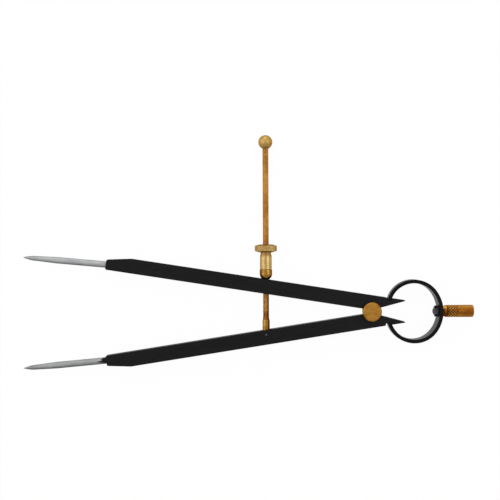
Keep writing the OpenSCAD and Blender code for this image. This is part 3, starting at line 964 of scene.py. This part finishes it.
pin_outline = rounded([(0, 0), (0, PIN_R), (PIN_LEN, PIN_R), (PIN_LEN, 0)], SMALL_ROUND)
pin = turned("eye_pin_rod", pin_outline, (PIN.x, PIN.y, PIN_START), ALONG_Z, PIN_SIDES)
dress(pin, dark_steel("pin_steel", PIN_SHADE), "lower_leg", "eye_pin")


# Spool

def spool_head(r):
    """Outline of one head, from its outer face's middle to the core."""
    return [(0, 0), (0, r - RIM_CHAMFER), (RIM_CHAMFER, r), (HEAD_T, r), (HEAD_T, CORE_R)]


def spool_rim_darkening(along, radius, turn, share):
    """The front head's chamfered rim, made darker."""
    return RIM_DARKENING * smooth_step(HEAD_R - RIM_CHAMFER, HEAD_R, radius)


front_head = [(SPOOL_LEN - along, r) for along, r in reversed(spool_head(HEAD_R))]
spool_outline = refined(rounded(spool_head(BACK_HEAD_R) + front_head, SHOULDER_ROUND), SPOOL_SPACING)
spool = turned("fulcrum_spool_turned", spool_outline, (0, 0, SPOOL_START), ALONG_Z, SPOOL_SIDES,
               dirt_and_light=spool_rim_darkening)
spool_brass = turned_brass("spool_brass", FULCRUM, ALONG_Z, **SPOOL_FINISH)
dress(spool, spool_brass, "fulcrum", "fulcrum_spool")

# Bow spring

back_x = BOW_REACH - BOW_BACK_R
arc_gap = BOW_BACK_R - BOW_SIDE_R
side_centre = np.array((back_x + arc_gap * math.cos(BOW_SPLIT), arc_gap * math.sin(BOW_SPLIT)))
side_mid_r = BOW_SIDE_R - BOW_T / 2
# The side's arc ends where its middle has sunk into the leg's outer edge
side_height = side_centre[0] * math.sin(HALF_ANGLE) + side_centre[1] * math.cos(HALF_ANGLE)
end_height = LEG_INNER + LEG_WIDTH - BOW_SINK - side_height
bow_end = math.pi / 2 - HALF_ANGLE + math.acos(end_height / side_mid_r)


def bow_half(name, side):
    """Half of the bow: a rounded strip carried round the back's arc and then the side's arc.

    At angle a the strip's middle is centre + r * (cos a, sin a), with the back's centre and radius
    before the split and the side's after it. The strip's width narrows with x towards its end, and
    past the last angle its thickness falls as a half circle.
    """
    back_angle = np.linspace(0, BOW_SPLIT, BOW_BACK_STATIONS, endpoint=False)
    angle = np.concatenate([back_angle, np.linspace(BOW_SPLIT, bow_end, BOW_SIDE_STATIONS)])
    normal = np.column_stack([np.cos(angle), np.sin(angle)])
    on_back = (angle < BOW_SPLIT)[:, None]
    middle = np.where(on_back, (back_x, 0), side_centre)
    middle = middle + normal * np.where(on_back, BOW_BACK_R - BOW_T / 2, side_mid_r)
    tip_x = middle[-1, 0] - BOW_T / 2
    half_t = np.full(len(angle), BOW_T / 2)
    nose = np.linspace(0, BOW_NOSE_SWEEP, BOW_NOSE_POINTS)
    tangent = np.array((-math.sin(bow_end), math.cos(bow_end)))
    middle = np.concatenate([middle, middle[-1] + tangent * BOW_NOSE_R * np.sin(nose)[:, None]])
    normal = np.concatenate([normal, np.repeat(normal[-1:], len(nose), 0)])
    half_t = np.concatenate([half_t, BOW_NOSE_R * np.cos(nose)])
    corner = np.minimum(BOW_CORNER, half_t)[:, None]
    quarter = np.linspace(0, math.pi / 2, BOW_CORNER_POINTS)
    turn = np.concatenate([quarter + k * math.pi / 2 for k in range(4)])
    sign_out = np.repeat((1, -1, -1, 1), BOW_CORNER_POINTS)
    sign_up = np.repeat((1, 1, -1, -1), BOW_CORNER_POINTS)
    out = sign_out * (half_t[:, None] - corner) + corner * np.cos(turn)
    flat = middle[:, None] + normal[:, None] * out[..., None]
    share = np.clip((flat[..., 0] - tip_x) / BOW_TAPER, 0, 1)
    half_w = (BOW_END_W + (BOW_W - BOW_END_W) * share) / 2
    up = sign_up * (half_w - corner) + corner * np.sin(turn)
    points = np.stack([flat[..., 0], side * flat[..., 1], MID_Z + up], -1)
    rows, columns = points.shape[:2]
    ends = [list(range(columns)), list(range((rows - 1) * columns, rows * columns))]
    return mesh_piece(name, points.reshape(-1, 3), grid_faces(rows, columns) + ends)


bow_lacquer = black_lacquer("bow_lacquer", 0, **BOW_LACQUER)
for side, name in SIDES:
    half = bow_half(f"bow_{name}_half", side)
    dress(half, bow_lacquer, None, "bow_spring")
    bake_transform(half)

# Handle

handle_foot = Vector((HANDLE_START, 0, MID_Z))
towards_top = turn_towards(ALONG_X, ALONG_Y)
towards_front = turn_towards(ALONG_X, (0, -0.03, 1))
towards_below = turn_towards(ALONG_X, (0, -1, 0.6))


def dome(radius):
    """Distance along the handle of its top, which falls with the square of the distance from the axis."""
    return HANDLE_LEN - HANDLE_DOME * (radius / HANDLE_R) ** 2


hole_r = BOLT_R + PRESS_GAP
hole_end = BOLT_IN + PRESS_GAP
handle_side = [(hole_end, 0), (hole_end, hole_r), (0, hole_r), (0, COLLAR_FOOT_R), (COLLAR_LEN, HANDLE_R),
               (COLLAR_LEN + COLLAR_GROOVE, HANDLE_R - COLLAR_GROOVE), (KNURL_START, HANDLE_R),
               (HANDLE_LEN - HANDLE_ROUND, HANDLE_R)]
rim_r = HANDLE_R - HANDLE_ROUND * (1 - math.cos(HANDLE_ROUND_SWEEP))
knurl_end = dome(rim_r) - HANDLE_ROUND * math.sin(HANDLE_ROUND_SWEEP)
handle_rim = arc((knurl_end, HANDLE_R - HANDLE_ROUND), HANDLE_ROUND, 90 * DEG, 90 * DEG - HANDLE_ROUND_SWEEP,
                 HANDLE_ROUND_STEPS)
dome_r = np.linspace(rim_r, 0, HANDLE_DOME_POINTS)[1:]
handle_outline = np.concatenate([rounded(handle_side, COLLAR_ROUND, COLLAR_ROUND_STEPS)[:-1], handle_rim,
                                 np.column_stack([dome(dome_r), dome_r])])


def knurl_left(along):
    """Share of the knurl that is left: whole beside the collar, a good deal less where fingers turn it."""
    worn, start, end = KNURL_WORN
    return 1 - worn * smooth_step(start, end, along)


def handle_dirt_and_light(along, radius, turn, share):
    """Darkening in the collar's groove, dirt between the diamonds, a painted dark reflection along the
    front and painted shade under the collar.

    The diamonds' tips are worn bright. A painted highlight lies along the handle's top, and a painted
    reflection of bounce light along its lower side past the collar.
    """
    groove = between(COLLAR_LEN - GROOVE_LAP[0], KNURL_START + GROOVE_LAP[1], GROOVE_BLEND, along)
    groove = GROOVE_DARKENING * groove * (radius > BOLT_R + GROOVE_CLEAR)
    dirt = smooth_step(*DIAMOND_DIRT_SPAN, share)
    tips = fading(share, DIAMOND_RUB, *DIAMOND_TIP_SPAN)
    tips = tips * between(KNURL_START, DIAMOND_RUB_END, DIAMOND_RUB_BLEND, along)
    on_collar = fading(along, 1, COLLAR_LEN - COLLAR_BLEND, COLLAR_LEN + COLLAR_BLEND)
    top = one_side(turn, towards_top, TOP_HIGHLIGHT + COLLAR_TOP_HIGHLIGHT * on_collar, TOP_SPREAD)
    front = one_side(turn, towards_front, *FRONT_DARK_REFLECTION)
    below = one_side(turn, towards_below, COLLAR_UNDER_SHADE * on_collar - UNDER_BOUNCE_REFLECTION * (1 - on_collar), BELOW_SPREAD)
    return np.clip(np.maximum(groove, dirt) - tips - top + front + below, -1, 1)


handle_knurl = diamond_knurl(KNURL_COUNT, KNURL_PITCH, KNURL_START, knurl_end, HANDLE_R - COLLAR_GROOVE / 2,
                             knurl_left)
handle = turned("handle_knurled", refined(handle_outline, HANDLE_SPACING), handle_foot, ALONG_X,
                KNURL_COUNT * KNURL_SIDES, handle_knurl, KNURL_DEPTH, handle_dirt_and_light)
dress(handle, turned_brass("handle_brass", handle_foot, ALONG_X, **HANDLE_FINISH), "bow", "handle")

# Hexagon-head screw and its washer

bolt_steel = dark_steel("bolt_steel", BOLT_SHADE)
bolt = broken_copy("handle_screw_hex", "handle_screw", HEX_ROUND)
dress(bolt, bolt_steel, "bow", "handle_screw")

washer_corners = [(WASHER_LEN / 2, WASHER_BORE), (0, WASHER_BORE), (0, WASHER_R), (WASHER_LEN, WASHER_R),
                  (WASHER_LEN, WASHER_BORE), (WASHER_LEN / 2, WASHER_BORE)]
washer_outline = rounded(washer_corners, SMALL_ROUND)[:-1]
washer_foot = (WASHER_START, 0, MID_Z)
washer = turned("handle_washer_ring", washer_outline, washer_foot, ALONG_X, WASHER_SIDES, ring=True)
dress(washer, bolt_steel, "bow", "handle_washer")

# Adjusting screw

screw_foot = Vector((PIN.x, SCREW_START, MID_Z))
towards_right = turn_towards(ALONG_Y, ALONG_X)
towards_left = towards_right + math.pi
thread_start = FERRULE_START + FERRULE_LEN - SCREW_START + THREAD_INSET
thread_end = BALL_START - SCREW_START + THREAD_INSET
nut_shade_start = NUT_START + NUT_LEN - SCREW_START - SHADE_BY_NUT_BLEND


def thread_dirt_and_shade(along, radius, turn, share):
    """Dirt in the thread, brown painted shade where the rod meets the ferrule, nut and ball, and painted
    shade down its sides between the legs.
    """
    past_start = along - thread_start
    by_ferrule = fading(past_start, *SHADE_BY_FERRULE)
    by_nut = between(nut_shade_start, nut_shade_start + SHADE_BY_NUT_LEN, SHADE_BY_NUT_BLEND, along)
    by_ball = smooth_step(thread_end - SHADE_BY_BALL_LEN, thread_end, along)
    # Painted shade where the rod meets the ferrule, the nut and the ball
    stains = by_ferrule + SHADE_BY_NUT * by_nut + SHADE_BY_BALL * by_ball
    # Painted shade down the rod's right and left sides
    sides = one_side(turn, towards_right, *SHADE_RIGHT) + one_side(turn, towards_left, *SHADE_LEFT)
    return np.clip(np.maximum(THREAD_DIRT * share, stains) + sides * fading(past_start, *SHADE_FADE), 0, 1)


screw_corners = np.array([(0, 0), (0, SCREW_R), (SCREW_LEN, SCREW_R), (SCREW_LEN, 0)])
screw_outline = refined(screw_corners, THREAD_PITCH / THREAD_POINTS)
thread = screw_thread(THREAD_PITCH, thread_start, thread_end, THREAD_LAND * SCREW_R)
screw = turned("adjusting_screw_thread", screw_outline, screw_foot, ALONG_Y, SCREW_SIDES,
               thread, THREAD_DEPTH, thread_dirt_and_shade)
screw_brass = turned_brass("screw_brass", screw_foot, ALONG_Y, **SCREW_FINISH)
dress(screw, screw_brass, "screw", "adjusting_screw")

# Ball

ball_middle = Vector((PIN.x, BALL_START + BALL_LEN - BALL_R, MID_Z))
socket_r = SCREW_R + PRESS_GAP
socket_top = SCREW_START + SCREW_LEN - ball_middle.y + PRESS_GAP
mouth = math.asin(socket_r / BALL_R)
ball_outline = np.concatenate([[(socket_top, 0), (socket_top, socket_r)],
                               arc((0, 0), BALL_R, math.pi - mouth, 0, BALL_STEPS)])


def ball_painted_shade(along, radius, turn, share):
    """Brown painted shade on the ball's lower half, which grows towards its socket."""
    return fading(along / BALL_R, *BALL_LOWER_SHADE) + fading(along / BALL_R, *BALL_SOCKET_SHADE)


ball = turned("screw_ball_turned", ball_outline, ball_middle, ALONG_Y, BALL_SIDES, dirt_and_light=ball_painted_shade)
ball_brass = turned_brass("ball_brass", ball_middle, ALONG_Y, **BALL_FINISH)
dress(ball, ball_brass, "screw", "screw_ball")


# Ferrule with the screw's eye

def ferrule_painted_shade(points):
    """Painted shade on the side of the ferrule that faces the fulcrum."""
    turn = np.arctan2(points[:, 2] - MID_Z, points[:, 0] - PIN.x)
    return one_side(turn, 0, *FERRULE_SHADE)


def ferrule_room(point):
    """Share of the edge round that fits on the ferrule: none round its pin hole and its socket's mouth."""
    by_pin = math.hypot(point.x - PIN.x, point.y - PIN.y) < PIN_CLEAR
    by_socket = math.hypot(point.x - PIN.x, point.z - MID_Z) < FERRULE_LAND * FERRULE_R
    return 0.0 if by_pin or by_socket else 1.0


ferrule = broken_copy("screw_eye_ferrule", "screw_eye", FERRULE_ROUND, ferrule_painted_shade, ferrule_room)
ferrule_brass = turned_brass("eye_brass", PIN, ALONG_Y, **FERRULE_FINISH)
dress(ferrule, ferrule_brass, "screw", "screw_eye")

# Adjusting nut

nut_foot = Vector((PIN.x, NUT_START, MID_Z))
bore_r = SCREW_R + BORE_GAP
flange_start = NUT_LEN - FLANGE_LEN
flange_land = FLANGE_LAND * FLANGE_R
knurl_in = FLANGE_KNURL_IN * FLANGE_CONE
nut_corners = [(NUT_LEN / 2, bore_r), (0, bore_r), (0, BARREL_R), (BARREL_LEN, BARREL_R),
               (BARREL_LEN, NECK_RING_R), (flange_start, NECK_RING_R), (flange_start, FLANGE_FLAT_R),
               (flange_start + FLANGE_CONE, FLANGE_R), (NUT_LEN - FLANGE_CONE, FLANGE_R),
               (NUT_LEN, FLANGE_FLAT_R), (NUT_LEN, bore_r), (NUT_LEN / 2, bore_r)]
nut_outline = refined(rounded(nut_corners, SMALL_ROUND)[:-1], FLANGE_SPACING, flange_land)
flange_knurl = diamond_knurl(FLANGE_COUNT, 2 * math.pi * FLANGE_R / FLANGE_COUNT,
                             flange_start + knurl_in, NUT_LEN - knurl_in, flange_land)


def nut_dirt_and_shade(along, radius, turn, share):
    """Painted shade in the neck under the flange, and a little dirt in the flange's knurl."""
    neck = between(BARREL_LEN - NECK_LAP, flange_start + NECK_LAP, NECK_BLEND, along) * (radius < BARREL_R)
    return NECK_SHADE_AND_KNURL_DIRT * np.maximum(neck, share)


nut = turned("adjusting_nut_knurled", nut_outline, nut_foot, ALONG_Y, FLANGE_COUNT * FLANGE_SIDES,
             flange_knurl, FLANGE_KNURL_DEPTH, nut_dirt_and_shade, ring=True)
nut_brass = turned_brass("nut_brass", nut_foot, ALONG_Y, **NUT_FINISH)
dress(nut, nut_brass, "nut", "adjusting_nut")

# Nut's seat

seat_middle = Vector((PIN.x, SEAT_START + SEAT_LEN - SEAT_STRAIGHT, MID_Z))
seat_nose = arc((0, 0), SEAT_R, math.pi / 2 + math.acos(bore_r / SEAT_R), math.pi / 2, SEAT_NOSE_STEPS)
seat_bore = (SEAT_STRAIGHT / 2, bore_r)
seat_top = rounded([(0, SEAT_R), (SEAT_STRAIGHT, SEAT_R), (SEAT_STRAIGHT, bore_r), seat_bore], SMALL_ROUND)
seat_outline = np.concatenate([[seat_bore], seat_nose, seat_top[1:-1]])


def seat_painted_shade(along, radius, turn, share):
    """Painted shade on the seat's nose, where it meets the leg, and down its left and right sides."""
    sides = one_side(turn, towards_right, *SEAT_SIDE_SHADE) + one_side(turn, towards_left, *SEAT_SIDE_SHADE)
    return np.clip(fading(along / SEAT_R, *SEAT_NOSE_SHADE) + sides, 0, 1)


seat = turned("nut_seat_turned", seat_outline, seat_middle, ALONG_Y, SEAT_SIDES, dirt_and_light=seat_painted_shade, ring=True)
dress(seat, turned_brass("seat_brass", seat_middle, ALONG_Y, **SEAT_FINISH), "seat", "nut_seat")


# Stage

def make_floor():
    """A wide white table. The camera and reflections see mostly plain white, with a faint shadow left."""
    half = FLOOR_HALF
    corners = [(-half, -half), (half, -half), (half, half), (-half, half)]
    mesh = bpy.data.meshes.new("table")
    mesh.from_pydata([(x, y, cad_low.z - FLOOR_DROP) for x, y in corners], [], [(0, 1, 2, 3)])
    made, tree, _ = new_material("table_white")
    tree.nodes.clear()
    lit = add_node(tree, "BsdfDiffuse", Color=FLOOR_COLOUR)
    plain = add_node(tree, "Emission", Color=(1, 1, 1), Strength=1.0)
    ray = add_node(tree, "LightPath").outputs
    seen = maths("ADD", ray["Is Camera Ray"], ray["Is Glossy Ray"], clamp=True)
    seen = maths("ADD", seen, ray["Is Transmission Ray"], clamp=True)
    shown = maths("MULTIPLY", seen, FLOOR_SHOWN)
    mix = add_node(tree, "MixShader", shown, lit.outputs[0], plain.outputs[0])
    add_node(tree, "OutputMaterial", Surface=mix.outputs[0])
    mesh.materials.append(made)
    add_object("table", mesh)


def make_dome():
    """Soft light all round, which comes mostly from the nut's side and least from the side across from it."""
    world = bpy.data.worlds.new("soft_dome")
    bpy.context.scene.world = world
    world.use_nodes = True
    tree = world.node_tree
    tree.nodes.clear()
    place = add_node(tree, "TexCoord").outputs["Generated"]
    split = add_node(tree, "SeparateXYZ", place)
    side = ramp(split.outputs["Y"], *SKY_SPAN)
    sky = add_node(tree, "Background", Color=mixed(side, SKY_DIM, SKY_BRIGHT), Strength=1.0)
    add_node(tree, "OutputWorld", Surface=sky.outputs[0])


def softbox(name, place, size, watts):
    """A square soft light at a place from the middle of the object, and aimed at it."""
    light = bpy.data.lights.new(name, "AREA")
    light.shape = "SQUARE"
    light.size = size
    light.energy = watts
    lamp = add_object(name, light)
    target = Vector(((cad_low.x + cad_high.x) / 2, (cad_low.y + cad_high.y) / 2, MID_Z))
    lamp.location = target + Vector(place)
    lamp.rotation_euler = (-Vector(place)).to_track_quat("-Z", "Y").to_euler()


make_floor()
make_dome()
for name, place, size, watts in SOFTBOXES:
    softbox(name, place, size, watts)

# Camera, which looks straight down

camera_data = bpy.data.cameras.new("camera")
camera = add_object("camera", camera_data)
camera_data.sensor_width = SENSOR_WIDTH
camera_data.lens = SENSOR_WIDTH / 2 * CAMERA_HEIGHT / PICTURE_HALF_WIDTH
camera_data.clip_start = CAMERA_CLIP
camera.location = (*PICTURE_MIDDLE, LEG_FRONT + CAMERA_HEIGHT)
camera.rotation_euler = (0, 0, CAMERA_ROLL)
bpy.context.scene.camera = camera
bpy.context.scene.view_settings.view_transform = "Standard"
